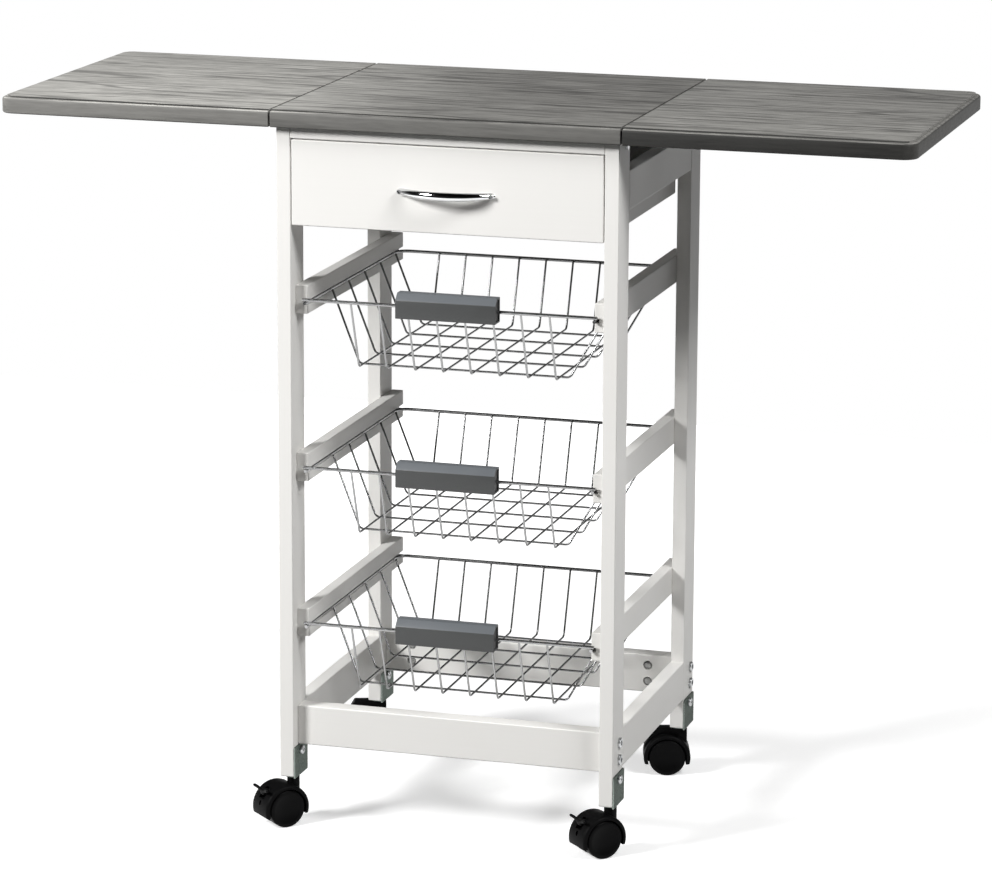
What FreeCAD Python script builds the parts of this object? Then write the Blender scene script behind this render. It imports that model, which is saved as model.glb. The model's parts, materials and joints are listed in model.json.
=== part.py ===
import FreeCAD, Part
import os
import re
import Sketcher

# Kitchen cart with two drop leaves, a drawer and three wire baskets on twin-wheel casters.
# X runs from left to right, Y from front to back, Z up; the origin is on the floor, midway between the legs.

doc = FreeCAD.newDocument("KitchenCart")

dimensions = {
    # whole cart, over the legs
    "height": 760,
    "frame_width": 360,
    "frame_depth": 332,
    "leg_thick": 15,
    "leg_deep": 40,
    "edge_round": 1.2,
    # worktop: fixed centre and two leaves
    "top_thick": 18,
    "center_overhang": 3,
    "top_overhang": 11,
    "leaf_length": 294,
    "leaf_gap": 2,
    "corner_round": 16,
    "top_round": 2.5,
    # side aprons and flat top rails
    "apron_drop": 51,
    "apron_tall": 40,
    "top_rail_thick": 12,
    "top_screw_inset": 26,
    # rails that carry the baskets: upper ones hang below the drawer, lower ones stand above the foot rails
    "upper_drop": 79,
    "middle_drop": 5,
    "lower_rise": 90,
    "rail_thick": 13,
    "rail_tall": 30,
    "rail_setback": 14,
    "groove_deep": 5,
    "groove_drop": 3,
    "groove_room": 0.4,
    "rail_dowel_rise": 7,
    # rails between the feet of the legs
    "foot_rail_low": 88,
    "foot_rail_tall": 42,
    "foot_rail_thick": 20,
    "front_rail_setback": 13,
    "rear_rail_setback": 3,
    # fasteners of the frame
    "bore_room": 0.05,
    "bolt_radius": 3,
    "bolt_reach": 60,
    "bolt_spread": 18,
    "bolt_head_radius": 5.5,
    "bolt_head_tall": 3,
    "nut_radius": 5,
    "nut_long": 14,
    "nut_sunk": 1,
    "nut_inset": 30,
    "dowel_radius": 3,
    "dowel_depth": 11,
    "dowel_cover": 2,
    "dowel_spread": 20,
    "screw_radius": 2,
    "screw_head_radius": 4,
    "screw_head_tall": 2.2,
    "top_screw_reach": 45,
    "top_fixing_reach": 10,
    "top_fixing_spread": 200,
    # leaf hinges
    "hinge_setback": 46,
    "hinge_wide": 36,
    "hinge_reach": 44,
    "hinge_tab": 8,
    "hinge_thick": 1.8,
    "hinge_clear": 0.6,
    "knuckle_radius": 3.4,
    "knuckle_room": 0.4,
    "hinge_pin_radius": 1.7,
    "hinge_screw_radius": 1.6,
    "hinge_screw_reach": 12,
    "hinge_screw_spread": 20,
    # drawer
    "drawer_room": 1,
    "drawer_front_tall": 88,
    "drawer_front_thick": 15,
    "drawer_side_thick": 12,
    "drawer_side_room": 1.3,
    "drawer_side_drop": 29,
    "drawer_side_lift": 3,
    "drawer_back_room": 2,
    "drawer_floor_thick": 4,
    "drawer_floor_lift": 6,
    "drawer_floor_slot": 4,
    "slot_room": 0.1,
    "runner_thick": 5,
    "runner_tall": 10,
    "runner_room": 0.5,
    "runner_screw_inset": 40,
    "runner_screw_reach": 14,
    "handle_span": 96,
    "handle_reach": 18,
    "handle_drop": 3,
    "handle_splay": 1,
    "handle_radius": 3.2,
    "handle_foot_radius": 4.5,
    "handle_foot_long": 7,
    "handle_screw_sunk": 5,
    # wire baskets, heights from the rim
    "rim_radius": 1.75,
    "wire_radius": 1.1,
    "weld_gap": 0.02,
    "rim_bite": 1.3,
    "rim_tail": 2,
    "rim_back_room": 14,
    "rim_bend": 14,
    "bar_ahead": 4,
    "bar_lap": 4,
    "wire_bend": 6,
    "basket_deep": 69,
    "front_flare": 34,
    "rear_flare": 32,
    "side_flare": 44,
    "long_wire_edge": 4,
    "long_wire_count": 8,
    "cross_wire_count": 5,
    "cross_wire_front": 21,
    "cross_wire_back": 9,
    "cross_wire_lean": 18,
    # basket grips
    "grip_wide": 106,
    "grip_front": 12,
    "grip_rear": 5,
    "grip_rise": 15,
    "grip_fall": 11,
    "grip_wall": 2.5,
    "grip_seat": 1.6,
    "grip_slope_run": 7,
    "grip_slope_fall": 7,
    "grip_room": 0.05,
    "grip_round": 1,
    # casters
    "caster_trail": 15,
    "wheel_radius": 20,
    "wheel_wide": 11.6,
    "wheel_round": 2,
    "hub_radius": 14,
    "hub_sunk": 0.8,
    "axle_radius": 3,
    "web_wall": 0.35,
    "web_room": 0.4,
    "hood_overlap": 0.6,
    "hood_wall": 4,
    "hood_room": 1.5,
    "hood_skirt": 7,
    "hood_round": 3,
    "neck_radius": 7,
    "neck_rise": 7.5,
    "spine_wide": 13.5,
    "spine_drop": 1.5,
    "spine_inset": 0.5,
    "spine_slope_run": 11.5,
    "spine_slope_fall": 19.5,
    "swivel_room": 0.5,
    "stem_radius": 4,
    "stem_long": 24,
    "front_left_turn": 47,
    "front_right_turn": 45,
    "rear_left_turn": 20,
    "rear_right_turn": 17,
    # caster brackets and brakes
    "bracket_thick": 1.5,
    "bracket_clear": 1,
    "bracket_screw_drop": 7,
    "bracket_screw_gap": 1,
    "brake_angle": 50,
    "brake_wide": 19,
    "brake_long": 15,
    "brake_thick": 2.6,
    "brake_hub_radius": 1.9,
    "brake_pin_radius": 1.2,
    "brake_pin_long": 26,
    "brake_fork_wide": 8,
    "brake_fork_deep": 8,
    "brake_slot_up": 3.5,
    "brake_slot_down": 7.5,
    "brake_slot_room": 0.4,
    # overshoot of cutting tools
    "cut_over": 1,
}

sheet = doc.addObject("Spreadsheet::Sheet", "Dims")
for row, (alias, size) in enumerate(dimensions.items(), start=1):
    sheet.set(f"A{row}", alias)
    sheet.set(f"B{row}", str(size))
    sheet.setAlias(f"B{row}", alias)
doc.recompute()

nodes = []
boards = {}
bores = {}

# sizes and places worked out from the dimensions
worked = {
    "underside": "height - top_thick",
    "center_width": "frame_width + 2 * center_overhang",
    "top_depth": "frame_depth + 2 * top_overhang",
    "leg_out": "frame_width / 2",
    "leg_in": "leg_out - leg_thick",
    "leg_mid": "leg_out - leg_thick / 2",
    "leg_face": "frame_depth / 2",
    "leg_back": "leg_face - leg_deep",
    "leg_axis": "leg_face - leg_deep / 2",
    "apron_top": "height - apron_drop",
    "apron_mid": "apron_top - apron_tall / 2",
    "rail_in": "leg_in - rail_thick",
    "rail_front": "-leg_face + rail_setback",
    "foot_rail_top": "foot_rail_low + foot_rail_tall",
    "foot_rail_mid": "foot_rail_low + foot_rail_tall / 2",
    "front_foot_rail_y": "-leg_face + front_rail_setback + foot_rail_thick / 2",
    "rear_foot_rail_y": "leg_face - rear_rail_setback - foot_rail_thick / 2",
    "upper_level": "drawer_low - upper_drop",
    "middle_level": "(upper_level + lower_level) / 2 - middle_drop",
    "lower_level": "foot_rail_top + lower_rise",
    "hinge_drop": "knuckle_radius + hinge_clear",
    "hinge_offset": "leg_back - hinge_setback",
    "hinge_x": "center_width / 2 + leaf_gap / 2",
    "hinge_z": "underside - hinge_drop",
    "drawer_top": "underside - top_rail_thick - drawer_room",
    "drawer_low": "drawer_top - drawer_front_tall",
    "side_out": "leg_in - drawer_side_room",
    "side_in": "side_out - drawer_side_thick",
    "box_front": "-leg_face + drawer_front_thick",
    "box_rear": "leg_back - drawer_back_room",
    "box_low": "drawer_low + drawer_side_lift",
    "box_top": "drawer_top - drawer_side_drop",
    "tray_low": "drawer_low + drawer_floor_lift",
    "tray_top": "tray_low + drawer_floor_thick",
    "tray_half": "side_in + drawer_floor_slot",
    "front_half": "leg_in - drawer_room",
    "handle_z": "drawer_low + drawer_front_tall / 2 - handle_drop",
    "handle_chord": "handle_span + 2 * handle_splay",
    "bow_radius": "(handle_chord ^ 2 / 4 + handle_reach ^ 2) / (2 * handle_reach)",
    "rim_half": "rail_in + rim_bite",
    "rim_front": "bar_front - rim_tail",
    "rim_rear": "leg_face - rim_back_room",
    "bar_front": "rail_front - bar_ahead",
    "bar_half": "rail_in + bar_lap",
    "bar_rise": "2 * rim_radius + weld_gap",
    "touch": "rim_radius + wire_radius + weld_gap",
    "floor_front": "bar_front + front_flare",
    "floor_rear": "rim_rear - rear_flare",
    "floor_half": "rim_half - side_flare",
    "cross_level": "-basket_deep - 2 * wire_radius - weld_gap",
    "cross_lean_run": "-cross_level * tan(cross_wire_lean)",
    "long_wire_first": "long_wire_edge - floor_half",
    "long_wire_run": "2 * (floor_half - long_wire_edge)",
    "cross_wire_first": "floor_front + cross_wire_front",
    "cross_wire_run": "floor_rear - cross_wire_back - cross_wire_first",
    "seat": "rim_radius + grip_room",
    "axle_x": "-caster_trail",
    "pocket_radius": "wheel_radius + hood_room",
    "hood_radius": "pocket_radius + hood_wall",
    "web_thick": "2 * (stem_radius + bore_room + web_wall)",
    "wheel_near": "web_thick / 2 + web_room",
    "axle_half": "wheel_near + wheel_wide - 3 * hub_sunk",
    "hood_wide": "2 * (wheel_near + wheel_wide + hood_overlap)",
    "hood_top": "wheel_radius + hood_radius + neck_rise",
    "spine_back": "axle_x - hood_radius + spine_inset",
    "plate_low": "hood_top + swivel_room",
    "foot_height": "plate_low + bracket_thick",
    "plate_top": "foot_rail_low - bracket_clear",
    "stem_low": "hood_top - stem_long + swivel_room",
    "bracket_screw_reach": "leg_thick / 2 - bracket_screw_gap",
    "brake_x": "axle_x - (pocket_radius + hood_wall / 2) * cos(brake_angle)",
    "brake_z": "wheel_radius + (pocket_radius + hood_wall / 2) * sin(brake_angle)",
}
sides = {"left": -1, "right": 1}
ends = {"front": -1, "rear": 1}
levels = {level: f"{level}_level" for level in ("upper", "middle", "lower")}


def words(expression):
    # an expression in the names above, as the document reads it
    def word(match):
        name = match[0]
        if name in worked:
            return f"({words(worked[name])})"
        return f"Dims.{name}" if name in dimensions else name

    return re.sub(r"[a-z_]+", word, expression)


def bind(item, prop, expression):
    item.setExpression(prop, words(expression))


def value(expression):
    return float(sheet.evalExpression(words(expression)))


def place(item, x="0", y="0", z="0"):
    bind(item, ".Placement.Base.x", x)
    bind(item, ".Placement.Base.y", y)
    bind(item, ".Placement.Base.z", z)
    return item


def turn(item, axis, degrees):
    item.Placement = FreeCAD.Placement(FreeCAD.Vector(), FreeCAD.Rotation(axis, degrees))
    return item


def span(sign, near, far):
    # a range on the right or rear side, or its mirror image on the left or front
    return (near, far) if sign > 0 else (f"-({far})", f"-({near})")


def around(middle, size):
    return (f"({middle}) - ({size}) / 2", f"({middle}) + ({size}) / 2")


def block(name, x, y, z):
    item = doc.addObject("Part::Box", name)
    for prop, (low, high) in zip(("Length", "Width", "Height"), (x, y, z)):
        bind(item, prop, f"({high}) - ({low})")
    return place(item, x[0], y[0], z[0])


x_axis = FreeCAD.Vector(1, 0, 0)
y_axis = FreeCAD.Vector(0, 1, 0)
z_axis = FreeCAD.Vector(0, 0, 1)
headings = {"x": (y_axis, 90), "-x": (y_axis, -90), "y": (x_axis, -90), "-y": (x_axis, 90), "z": (z_axis, 0)}


def rod(name, radius, heading, long, x, y, z):
    # a cylinder that starts at a point and runs along an axis
    item = doc.addObject("Part::Cylinder", name)
    bind(item, "Radius", radius)
    bind(item, "Height", long)
    turn(item, *headings[heading])
    return place(item, x, y, z)


def join(name, items):
    item = doc.addObject("Part::MultiFuse", name)
    item.Shapes = items
    return item


def group(name, items):
    item = doc.addObject("Part::Compound", name)
    item.Links = items
    return item


def cut(name, base, tools):
    item = doc.addObject("Part::Cut", name)
    item.Base = base
    item.Tool = tools[0] if len(tools) == 1 else group(f"{name}_tools", tools)
    return item


def node(item, name):
    item.Label = name
    nodes.append(item)
    return item


def rounded(body, feature, radius, edges=None):
    # rounds the named edges of a body's last feature, or all of them
    doc.recompute()
    item = body.newObject("PartDesign::Fillet", f"{feature.Name}_round")
    item.Base = (feature, edges or ["Edge1"])
    item.UseAllEdges = edges is None
    bind(item, "Radius", radius)
    return item


def board(name, x, y, z):
    # a wooden piece with eased edges
    body = doc.addObject("PartDesign::Body", f"{name}_board")
    timber = body.newObject("PartDesign::AdditiveBox", f"{name}_timber")
    for prop, (low, high) in zip(("Length", "Width", "Height"), (x, y, z)):
        bind(timber, prop, f"({high}) - ({low})")
    rounded(body, timber, "edge_round")
    boards[name] = place(body, x[0], y[0], z[0])
    return body


def carve(name, tools):
    bores.setdefault(name, []).extend(tools)


def pinned(name, radius, heading, long, x, y, z, pieces):
    # a plain pin, and the hole it fills in each of the pieces
    pin = rod(name, radius, heading, long, x, y, z)
    hole = rod(f"{name}_hole", f"{radius} + bore_room", heading, long, x, y, z)
    for piece in pieces:
        carve(piece, [hole])
    return pin


def headed(name, radius, head, heading, long, x, y, z, pieces):
    # a screw or bolt: its head stands on the surface at the point, its shank runs along the heading
    head_radius, head_tall = head
    back = {"x": "-x", "-x": "x", "y": "-y", "-y": "y", "z": "z"}[heading]
    head_z = f"({z}) - ({head_tall})" if heading == "z" else z
    top = rod(f"{name}_head", head_radius, back, head_tall, x, y, head_z)
    shank = pinned(f"{name}_shank", radius, heading, long, x, y, z, pieces)
    return join(name, [top, shank])


bolt_head = ("bolt_head_radius", "bolt_head_tall")
screw_head = ("screw_head_radius", "screw_head_tall")


# wooden frame

for side, sx in sides.items():
    for end, sy in ends.items():
        leg_x = span(sx, "leg_in", "leg_out")
        leg_y = span(sy, "leg_back", "leg_face")
        board(f"leg_{end}_{side}", leg_x, leg_y, ("foot_height", "underside"))
    apron_x = span(sx, "leg_in", "leg_out")
    between = ("-leg_back", "leg_back")
    board(f"apron_{side}", apron_x, between, ("apron_top - apron_tall", "apron_top"))
    board(f"foot_rail_{side}", apron_x, between, ("foot_rail_low", "foot_rail_top"))
    for level, middle in levels.items():
        name = f"basket_rail_{level}_{side}"
        rail_y = ("rail_front", "leg_face")
        board(name, span(sx, "rail_in", "leg_in"), rail_y, around(middle, "rail_tall"))
        groove_x = span(sx, "rail_in - cut_over", "rail_in + groove_deep")
        groove_y = ("-leg_face", "leg_face + cut_over")
        groove_z = around(f"{middle} - groove_drop", "2 * (rim_radius + groove_room)")
        carve(name, [block(f"{name}_groove", groove_x, groove_y, groove_z)])

for end, sy in ends.items():
    inside = ("-leg_in", "leg_in")
    top_rail_z = ("underside - top_rail_thick", "underside")
    board(f"top_rail_{end}", inside, span(sy, "leg_back", "leg_face"), top_rail_z)
    rail_y = around(f"{end}_foot_rail_y", "foot_rail_thick")
    board(f"foot_rail_{end}", inside, rail_y, ("foot_rail_low", "foot_rail_top"))


# worktop

def slab(name, x, corners):
    # a worktop panel with eased edges; corners are the signs of the ends along X that are rounded in plan
    body = doc.addObject("PartDesign::Body", f"{name}_board")
    panel = body.newObject("PartDesign::AdditiveBox", f"{name}_panel")
    bind(panel, "Length", f"({x[1]}) - ({x[0]})")
    bind(panel, "Width", "top_depth")
    bind(panel, "Height", "top_thick")
    feature = panel
    if corners:
        doc.recompute()
        box = panel.Shape.BoundBox
        upright = [
            f"Edge{i}" for i, edge in enumerate(panel.Shape.Edges, start=1)
            if edge.BoundBox.ZLength > box.ZLength / 2 and (edge.CenterOfMass.x - box.Center.x) * corners > 0
        ]
        feature = rounded(body, panel, "corner_round", upright)
    rounded(body, feature, "top_round")
    boards[name] = place(body, x[0], "-top_depth / 2", "underside")


slab("top_center", ("-center_width / 2", "center_width / 2"), 0)
for side, sx in sides.items():
    leaf_near = "(center_width / 2 + leaf_gap)"
    slab(f"leaf_{side}", span(sx, leaf_near, f"{leaf_near} + leaf_length"), sx)

# fasteners of the frame
bolts = []
nuts = []
screws = []
dowels = []
for side, sx in sides.items():
    inward, outward = ("-x", "x") if sx > 0 else ("x", "-x")
    for end, sy in ends.items():
        leg = f"leg_{end}_{side}"
        rail = f"foot_rail_{end}"
        bolt_y = f"{end}_foot_rail_y"
        for spot, sz in (("low", -1), ("high", 1)):
            name = f"bolt_{end}_{side}_{spot}"
            bolt_z = f"foot_rail_mid + {sz} * bolt_spread / 2"
            bolts.append(headed(
                name, "bolt_radius", bolt_head, inward, "bolt_reach",
                f"{sx} * leg_out", bolt_y, bolt_z, [leg, rail]))
            nut_x = f"{sx} * (leg_in - nut_inset)"
            rail_inner = f"{bolt_y} - {sy} * foot_rail_thick / 2"
            away = "-y" if sy < 0 else "y"
            nut_bar = rod(
                f"nut_{name}", "nut_radius", away, "nut_long",
                nut_x, f"{rail_inner} + {sy} * nut_sunk", bolt_z)
            pocket = rod(
                f"nut_pocket_{name}", "nut_radius + bore_room", away, "nut_long + nut_sunk + cut_over",
                nut_x, f"{rail_inner} - {sy} * cut_over", bolt_z)
            carve(rail, [pocket])
            nuts.append(cut(f"nut_bored_{name}", nut_bar, [doc.getObject(f"{name}_shank_hole")]))
        screws.append(headed(
            f"top_screw_{end}_{side}", "screw_radius", screw_head, inward, "top_screw_reach",
            f"{sx} * leg_out", f"{sy} * (leg_face - top_screw_inset)", "underside - top_rail_thick / 2",
            [leg, f"top_rail_{end}"]))
        for level, middle in levels.items():
            dowels.append(pinned(
                f"dowel_{level}_{end}_{side}", "dowel_radius", outward,
                "rail_thick + leg_thick - 2 * dowel_cover",
                f"{sx} * (rail_in + dowel_cover)", f"{sy} * leg_axis", f"{middle} + rail_dowel_rise",
                [leg, f"basket_rail_{level}_{side}"]))
        for piece, middle in ((f"apron_{side}", "apron_mid"), (f"foot_rail_{side}", "foot_rail_mid")):
            for spot, sz in (("low", -1), ("high", 1)):
                dowels.append(pinned(
                    f"dowel_{piece}_{end}_{spot}", "dowel_radius", "y", "2 * dowel_depth",
                    f"{sx} * leg_mid", f"{sy} * leg_back - dowel_depth",
                    f"{middle} + {sz} * dowel_spread / 2", [leg, piece]))
for end, sy in ends.items():
    for side, sx in sides.items():
        screws.append(headed(
            f"top_fixing_{end}_{side}", "screw_radius", screw_head, "z", "top_rail_thick + top_fixing_reach",
            f"{sx} * top_fixing_spread / 2", f"{sy} * leg_axis", "underside - top_rail_thick",
            [f"top_rail_{end}", "top_center"]))

# drawer runners on the aprons' inner faces
for side, sx in sides.items():
    inward, outward = ("-x", "x") if sx > 0 else ("x", "-x")
    name = f"drawer_runner_{side}"
    board(name, span(sx, "leg_in - runner_thick", "leg_in"), ("-leg_back", "leg_back"),
          around("apron_mid", "runner_tall"))
    for end, sy in ends.items():
        screw_x = f"{sx} * (leg_in - runner_thick + screw_head_tall)"
        screw_y = f"{sy} * (leg_back - runner_screw_inset)"
        screws.append(headed(
            f"runner_screw_{end}_{side}", "screw_radius", screw_head, outward,
            "runner_screw_reach - screw_head_tall", screw_x, screw_y, "apron_mid", [name, f"apron_{side}"]))
        sink = rod(
            f"runner_sink_{end}_{side}", "screw_head_radius + bore_room", inward,
            "screw_head_tall + cut_over", screw_x, screw_y, "apron_mid")
        carve(name, [sink])

# leaf hinges: plates under the centre and the leaf, knuckles on one pin below the split
hinge_pins = []
hinge_screws = []


def hinge_half(name, sx, sign, y, thirds, panel):
    # one half of a hinge: sign is towards the cart's middle or away from it
    towards = sx * sign
    plate_x = [f"{sx} * hinge_x + {towards} * hinge_tab", f"{sx} * hinge_x + {towards} * hinge_reach"]
    tab_x = [f"{sx} * hinge_x", f"{sx} * hinge_x + {towards} * hinge_tab"]
    if towards < 0:
        plate_x.reverse()
        tab_x.reverse()
    plate_z = ("underside - hinge_thick", "underside")
    solids = [block(f"{name}_plate", plate_x, around(y, "hinge_wide"), plate_z)]
    for index, (low, high) in enumerate(thirds):
        tab_y = (f"{y} + {low}", f"{y} + {high}")
        solids.append(block(f"{name}_tab_{index}", tab_x, tab_y, plate_z))
        solids.append(rod(f"{name}_knuckle_{index}", "knuckle_radius", "y", f"({high}) - ({low})",
                          f"{sx} * hinge_x", tab_y[0], "hinge_z"))
    carve(name, [rod(f"{name}_eye", "hinge_pin_radius + bore_room", "y", "hinge_wide + 2 * cut_over",
                     f"{sx} * hinge_x", f"{y} - hinge_wide / 2 - cut_over", "hinge_z")])
    half_screws = []
    for spot, sy in ends.items():
        half_screws.append(headed(
            f"{name}_screw_{spot}", "hinge_screw_radius", screw_head, "z", "hinge_thick + hinge_screw_reach",
            f"{sx} * hinge_x + {towards} * (hinge_tab + hinge_reach) / 2",
            f"{y} + {sy} * hinge_screw_spread / 2", "underside - hinge_thick", [name, panel]))
    boards[name] = join(f"{name}_solid", solids)
    return half_screws


inner_third = [("-hinge_wide / 6", "hinge_wide / 6")]
outer_thirds = [
    ("-hinge_wide / 2", "-hinge_wide / 6 - knuckle_room"),
    ("hinge_wide / 6 + knuckle_room", "hinge_wide / 2"),
]
leaf_screws = {side: [] for side in sides}
for side, sx in sides.items():
    for end, sy in ends.items():
        hinge_y = f"{sy} * hinge_offset"
        hinge_screws += hinge_half(f"hinge_fixed_{end}_{side}", sx, -1, hinge_y, inner_third, "top_center")
        leaf_screws[side] += hinge_half(
            f"hinge_leaf_{end}_{side}", sx, 1, hinge_y, outer_thirds, f"leaf_{side}")
        hinge_pins.append(rod(f"hinge_pin_{end}_{side}", "hinge_pin_radius", "y", "hinge_wide",
                              f"{sx} * hinge_x", f"{hinge_y} - hinge_wide / 2", "hinge_z"))

# drawer
board("drawer_front", ("-front_half", "front_half"), ("-leg_face", "box_front"), ("drawer_low", "drawer_top"))
for side, sx in sides.items():
    name = f"drawer_side_{side}"
    board(name, span(sx, "side_in", "side_out"), ("box_front", "box_rear"), ("box_low", "box_top"))
    runway = block(
        f"{name}_runway", span(sx, "leg_in - runner_thick - runner_room", "leg_in"),
        ("-leg_back - runner_room", "box_rear + cut_over"),
        around("apron_mid", "runner_tall + 2 * runner_room"))
    slot = block(
        f"{name}_slot", span(sx, "side_in - cut_over", "side_in + drawer_floor_slot + slot_room"),
        ("box_front - cut_over", "box_rear + cut_over"),
        ("tray_low - slot_room", "tray_top + slot_room"))
    carve(name, [runway, slot])
board("drawer_back", ("-side_in", "side_in"), ("box_rear - drawer_side_thick", "box_rear"),
      ("tray_top + slot_room", "box_top"))
boards["drawer_floor"] = block(
    "drawer_floor_panel", ("-tray_half", "tray_half"), ("box_front", "box_rear"), ("tray_low", "tray_top"))

# bow handle: an arc of round bar between two feet, screwed on from inside the drawer
bow = doc.addObject("Part::Torus", "handle_bow")
bind(bow, "Radius1", "bow_radius")
bind(bow, "Radius2", "handle_radius")
place(bow, "0", "-leg_face - handle_reach + bow_radius", "handle_z")
bow_front = block(
    "handle_bow_front", ("-handle_chord", "handle_chord"),
    ("-leg_face - handle_reach - handle_chord", "-leg_face"), around("handle_z", "4 * handle_radius"))
arch = doc.addObject("Part::Common", "handle_arch")
arch.Base = bow
arch.Tool = bow_front
handle_solids = [arch]
handle_screws = []
for side, sx in sides.items():
    foot_x = f"{sx} * handle_span / 2"
    handle_solids.append(rod(
        f"handle_foot_{side}", "handle_foot_radius", "-y", "handle_foot_long",
        foot_x, "-leg_face", "handle_z"))
    handle_screws.append(headed(
        f"handle_screw_{side}", "screw_radius", screw_head, "-y", "drawer_front_thick + handle_screw_sunk",
        foot_x, "box_front", "handle_z", ["drawer_front", "drawer_handle"]))
boards["drawer_handle"] = join("handle_solid", handle_solids)


# wire baskets: every wire is a U with two legs, two bends and a straight middle

def fixed_size(sketch, expression, kind, *where):
    # a dimension of a sketch that follows an expression
    index = sketch.addConstraint(Sketcher.Constraint(kind, *where, value(expression)))
    bind(sketch, f"Constraints[{index}]", expression)


def bent_wire(name, plane, radius, bend, tips, middle, lean="0"):
    # tips are the two leg ends, middle is the straight run's ends, all in the plane's own two axes;
    # the plane leans about the first of them
    body = doc.addObject("PartDesign::Body", name)
    planes = {feature.Role: feature for feature in body.Origin.OriginFeatures}
    path = body.newObject("Sketcher::SketchObject", f"{name}_path")
    path.AttachmentSupport = [(planes[plane], "")]
    path.MapMode = "FlatFace"
    path.AttachmentOffset = FreeCAD.Placement(FreeCAD.Vector(), FreeCAD.Rotation(x_axis, 1))
    bind(path, ".AttachmentOffset.Rotation.Angle", lean)
    points = [FreeCAD.Vector(value(u), value(v), 0) for u, v in (tips[0], middle[0], middle[1], tips[1])]
    lift = FreeCAD.Vector(0, value(bend), 0)
    if points[0].y < points[1].y:
        lift = -lift
    steer = FreeCAD.Vector(value(bend), 0, 0)
    shoulders = [points[1] - steer + lift, points[2] + steer + lift]
    diagonal = 0.5 ** 0.5
    path.addGeometry(Part.LineSegment(points[0], shoulders[0]))
    for start, stop, sign in ((shoulders[0], points[1], -1), (points[2], shoulders[1], 1)):
        center = (points[1] if sign < 0 else points[2]) + lift
        halfway = center + (steer * sign - lift) * diagonal
        path.addGeometry(Part.Arc(start, halfway, stop))
    path.addGeometry(Part.LineSegment(points[1], points[2]))
    path.addGeometry(Part.LineSegment(shoulders[1], points[3]))
    left, bend_left, bend_right, flat, right = range(5)
    first, last = 1, 2

    def arc_end(arc, want):
        return min((first, last), key=lambda end: (path.getPoint(arc, end) - want).Length)

    for line, end, arc, point in (
        (left, last, bend_left, shoulders[0]),
        (flat, first, bend_left, points[1]),
        (flat, last, bend_right, points[2]),
        (right, first, bend_right, shoulders[1]),
    ):
        path.addConstraint(Sketcher.Constraint("Tangent", line, end, arc, arc_end(arc, point)))
    path.addConstraint(Sketcher.Constraint("Equal", bend_left, bend_right))
    path.addConstraint(Sketcher.Constraint("Horizontal", flat))
    fixed_size(path, bend, "Radius", bend_left)
    for line, end, (u, v) in (
        (left, first, tips[0]),
        (flat, first, middle[0]),
        (flat, last, middle[1]),
        (right, last, tips[1]),
    ):
        fixed_size(path, u, "DistanceX", -1, 1, line, end)
        if (line, end) != (flat, last):
            fixed_size(path, v, "DistanceY", -1, 1, line, end)
    doc.recompute()
    section = body.newObject("Sketcher::SketchObject", f"{name}_section")
    section.AttachmentSupport = [(path, "Edge1")]
    section.MapMode = "NormalToEdge"
    section.addGeometry(Part.Circle(FreeCAD.Vector(), z_axis, value(radius)))
    section.addConstraint(Sketcher.Constraint("Coincident", 0, 3, -1, 1))
    fixed_size(section, radius, "Radius", 0)
    doc.recompute()
    pipe = body.newObject("PartDesign::AdditivePipe", f"{name}_pipe")
    pipe.Profile = section
    pipe.Spine = (path, [f"Edge{i}" for i in range(1, 6)])
    doc.recompute()
    return body, pipe


def row(body, pipe, axis, run, count, first_place):
    # repeats a wire at an even pitch over a run along an axis of its body
    planes = {feature.Role: feature for feature in body.Origin.OriginFeatures}
    pattern = body.newObject("PartDesign::LinearPattern", f"{body.Name}_row")
    pattern.Originals = [pipe]
    pattern.Direction = (planes[axis], [""])
    bind(pattern, "Length", run)
    bind(pattern, "Occurrences", count)
    body.Tip = pattern
    bind(body, f".Placement.Base.{axis[0].lower()}", first_place)
    return body


rim, _ = bent_wire(
    "basket_rim", "XY_Plane", "rim_radius", "rim_bend",
    (("-rim_half", "rim_front"), ("rim_half", "rim_front")),
    (("-rim_half + rim_bend", "rim_rear"), ("rim_half - rim_bend", "rim_rear")))
front_bar = rod("basket_bar", "rim_radius", "x", "2 * bar_half", "-bar_half", "bar_front", "bar_rise")
long_row = row(
    *bent_wire(
        "basket_long_wire", "YZ_Plane", "wire_radius", "wire_bend",
        (("bar_front + touch", "bar_rise"), ("rim_rear - touch", "0")),
        (("floor_front", "-basket_deep"), ("floor_rear", "-basket_deep"))),
    "X_Axis", "long_wire_run", "long_wire_count", "long_wire_first")
cross_drop = "cross_level / cos(cross_wire_lean)"
cross_row = row(
    *bent_wire(
        "basket_cross_wire", "XZ_Plane", "wire_radius", "wire_bend",
        (("-rim_half + touch", "0"), ("rim_half - touch", "0")),
        (("-floor_half", cross_drop), ("floor_half", cross_drop)), "-cross_wire_lean"),
    "Y_Axis", "cross_wire_run", "cross_wire_count", "cross_wire_first + cross_lean_run")

# grip: a channel that hooks over the basket's front bar, open below
grip_body = doc.addObject("PartDesign::Body", "grip")


def grip_cut(name, y, z):
    item = grip_body.newObject("PartDesign::SubtractiveBox", name)
    bind(item, "Length", "grip_wide + 2 * cut_over")
    bind(item, "Width", f"({y[1]}) - ({y[0]})")
    bind(item, "Height", f"({z[1]}) - ({z[0]})")
    return place(item, "-grip_wide / 2 - cut_over", y[0], z[0])


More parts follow.
